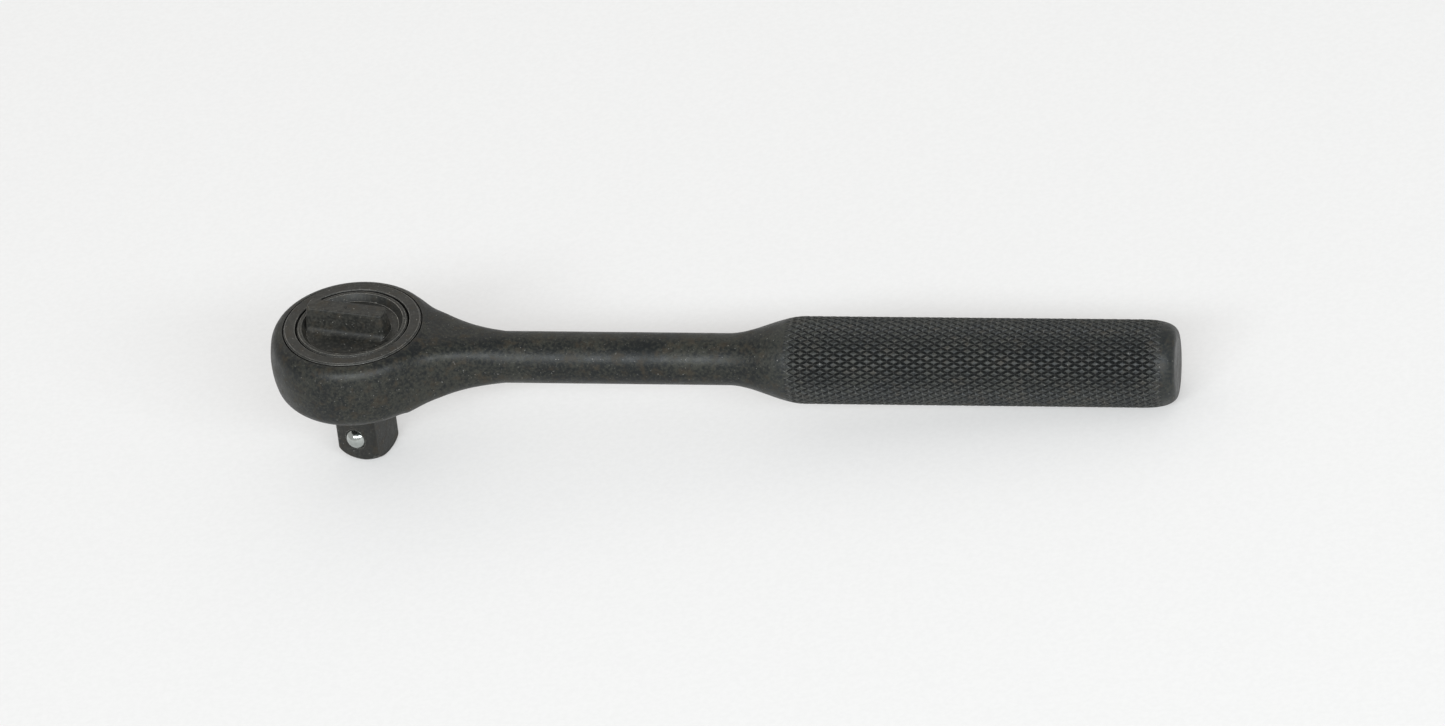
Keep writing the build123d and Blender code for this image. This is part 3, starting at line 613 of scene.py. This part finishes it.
def make_spring(node_name, name, direction, wire_r, turns):
    """A coil spring in place of its CAD node, carried with the core."""
    direction = Vector(direction).normalized()
    low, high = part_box(node_name)
    middle = (low + high) / 2
    along = [vert.co.dot(direction) for vert in nodes[node_name].data.vertices]
    length = max(along) - min(along)
    seat = middle + direction * (min(along) - middle.dot(direction))
    side = direction.orthogonal().normalized()
    other = direction.cross(side)
    width = high.x - low.x if abs(direction.z) > 0.5 else high.z - low.z
    wire_r *= MM
    coil_r = width / 2 - wire_r
    steps = round(SPRING_STEPS * turns)
    mesh = bmesh.new()
    rows = []
    for i in range(steps + 1):
        angle = 2 * pi * i / SPRING_STEPS
        out = side * cos(angle) + other * sin(angle)
        height = wire_r + (length - 2 * wire_r) * i / steps
        centre = seat + out * coil_r + direction * height
        around = [2 * pi * k / SPRING_SIDES for k in range(SPRING_SIDES)]
        rows.append([mesh.verts.new(centre + wire_r * (out * cos(t) + direction * sin(t)))
                     for t in around])
    for row, above in zip(rows, rows[1:]):
        join_rings(mesh, row, above, None)
    mesh.faces.new(rows[0])
    mesh.faces.new(rows[-1])
    bmesh.ops.recalc_face_normals(mesh, faces=mesh.faces[:])
    made = finish_mesh(mesh, name, COIL_SHARP)
    made.data.materials.append(wire_steel)
    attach(made, "core")
    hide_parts(node_name)
    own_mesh(made)


# Each spring points from its seat in the core towards what it pushes
PAWL_SPRING_TURN = radians(-88)
to_pawl = (cos(PAWL_SPRING_TURN), sin(PAWL_SPRING_TURN), 0)
make_spring("drive_detent_spring", "drive_ball_coil", outwards, wire_r=0.25, turns=5)
make_spring("selector_detent_spring", "selector_ball_coil", (0, 0, 1), wire_r=0.15, turns=5)
make_spring("pawl_spring_forward", "pawl_coil_forward", to_pawl, wire_r=0.14, turns=3.5)

# ------------------------------------------------------------------ floor
# The wrench lies on the end of its square and on the end of its handle
TANG_END_R = 3.6
FLOOR_HALF = 3.0                           # metres
FIBRE, PAPER_DARK, PAPER_LIGHT = 900.0, (0.46, 0.46, 0.46), (0.48, 0.48, 0.48)
PAPER_ROUGHNESS, PAPER_GLOW, PAPER_GLOW_STRENGTH = 0.9, (1.0, 0.985, 0.975, 1), 0.33
TANG_END = core_low.z
handle_low = SHANK_Z - HANDLE_R
rest_x = HANDLE_END - END_ROUND
slope = (handle_low - TANG_END) / (rest_x - TANG_END_R)
floor_mesh = bmesh.new()
bmesh.ops.create_grid(floor_mesh, x_segments=8, y_segments=8, size=FLOOR_HALF)
for vert in floor_mesh.verts:
    vert.co.z = (TANG_END - slope * TANG_END_R) * MM + slope * vert.co.x
floor = finish_mesh(floor_mesh, "floor", FLOOR_SHARP)
paper = Nodes("pale_paper")
fibre = paper.noise(FIBRE)
paper.shader.inputs["Specular IOR Level"].default_value = PAPER_SPECULAR
paper.shader.inputs["Emission Color"].default_value = PAPER_GLOW
paper.shader.inputs["Emission Strength"].default_value = PAPER_GLOW_STRENGTH
floor.data.materials.append(paper.finish(
    paper.mix(paper.band(fibre, 0.3, 0.7), PAPER_DARK, PAPER_LIGHT), PAPER_ROUGHNESS))

# ------------------------------------------------------------------ light
world = bpy.data.worlds.new("studio")
scene.world = world
world.use_nodes = True
sky = world.node_tree.nodes["Background"].inputs
sky["Color"].default_value = (1.0, 0.985, 0.97, 1)
sky["Strength"].default_value = 0.58

LIT_X = 0.07                               # metres along the handle


def area_light(name, azimuth, elevation, distance, size, power, colour):
    """A rectangular light that looks at the middle of the wrench from azimuth and elevation."""
    data = bpy.data.lights.new(name, "AREA")
    data.shape = "RECTANGLE"
    data.size, data.size_y = size
    data.energy = power
    data.color = colour
    made = bpy.data.objects.new(name, data)
    a, e = radians(azimuth), radians(elevation)
    back = Vector((sin(a) * cos(e), -cos(a) * cos(e), sin(e)))
    made.location = Vector((LIT_X, 0, 0)) + back * distance
    made.rotation_mode = "QUATERNION"
    made.rotation_quaternion = back.to_track_quat("Z", "Y")
    scene.collection.objects.link(made)


area_light("key", azimuth=11, elevation=34, distance=2.6, size=(4.4, 0.5), power=108.0,
           colour=(0.93, 0.98, 1.0))
area_light("warm_fill", azimuth=208, elevation=36, distance=1.3, size=(2.0, 0.6), power=2.4,
           colour=(1.0, 0.94, 0.84))

# ------------------------------------------------------------------ camera
VIEW_TURN, VIEW_LIFT, VIEW_ROLL = radians(15.05), radians(35.2), radians(8.25)
LENS, SENSOR = 214.754, 36.0               # millimetres, as a camera gives them
DISTANCE = 1774 * MM                       # to the top of the head
AIM_ACROSS, AIM_DOWN = 76.25 * MM, 8.15 * MM   # from the head to the middle of the view
back = Vector((sin(VIEW_TURN) * cos(VIEW_LIFT), -cos(VIEW_TURN) * cos(VIEW_LIFT), sin(VIEW_LIFT)))
right = Vector((cos(VIEW_TURN), sin(VIEW_TURN), 0))
up = back.cross(right)
across = right * cos(VIEW_ROLL) - up * sin(VIEW_ROLL)
upward = right * sin(VIEW_ROLL) + up * cos(VIEW_ROLL)
aim = (AIM_ACROSS * across - AIM_DOWN * upward - DISTANCE * back).normalized()
side = (across - across.dot(aim) * aim).normalized()
top = side.cross(aim)
camera_data = bpy.data.cameras.new("camera")
camera_data.sensor_width = SENSOR
camera_data.lens = LENS
camera_data.clip_start, camera_data.clip_end = 0.05, 20.0
camera = bpy.data.objects.new("camera", camera_data)
camera.matrix_world = Matrix((side, top, -aim)).transposed().to_4x4()
camera.location = Vector((0, 0, cover_high.z * MM)) + back * DISTANCE
scene.collection.objects.link(camera)
scene.camera = camera
scene.view_settings.view_transform = "Standard"
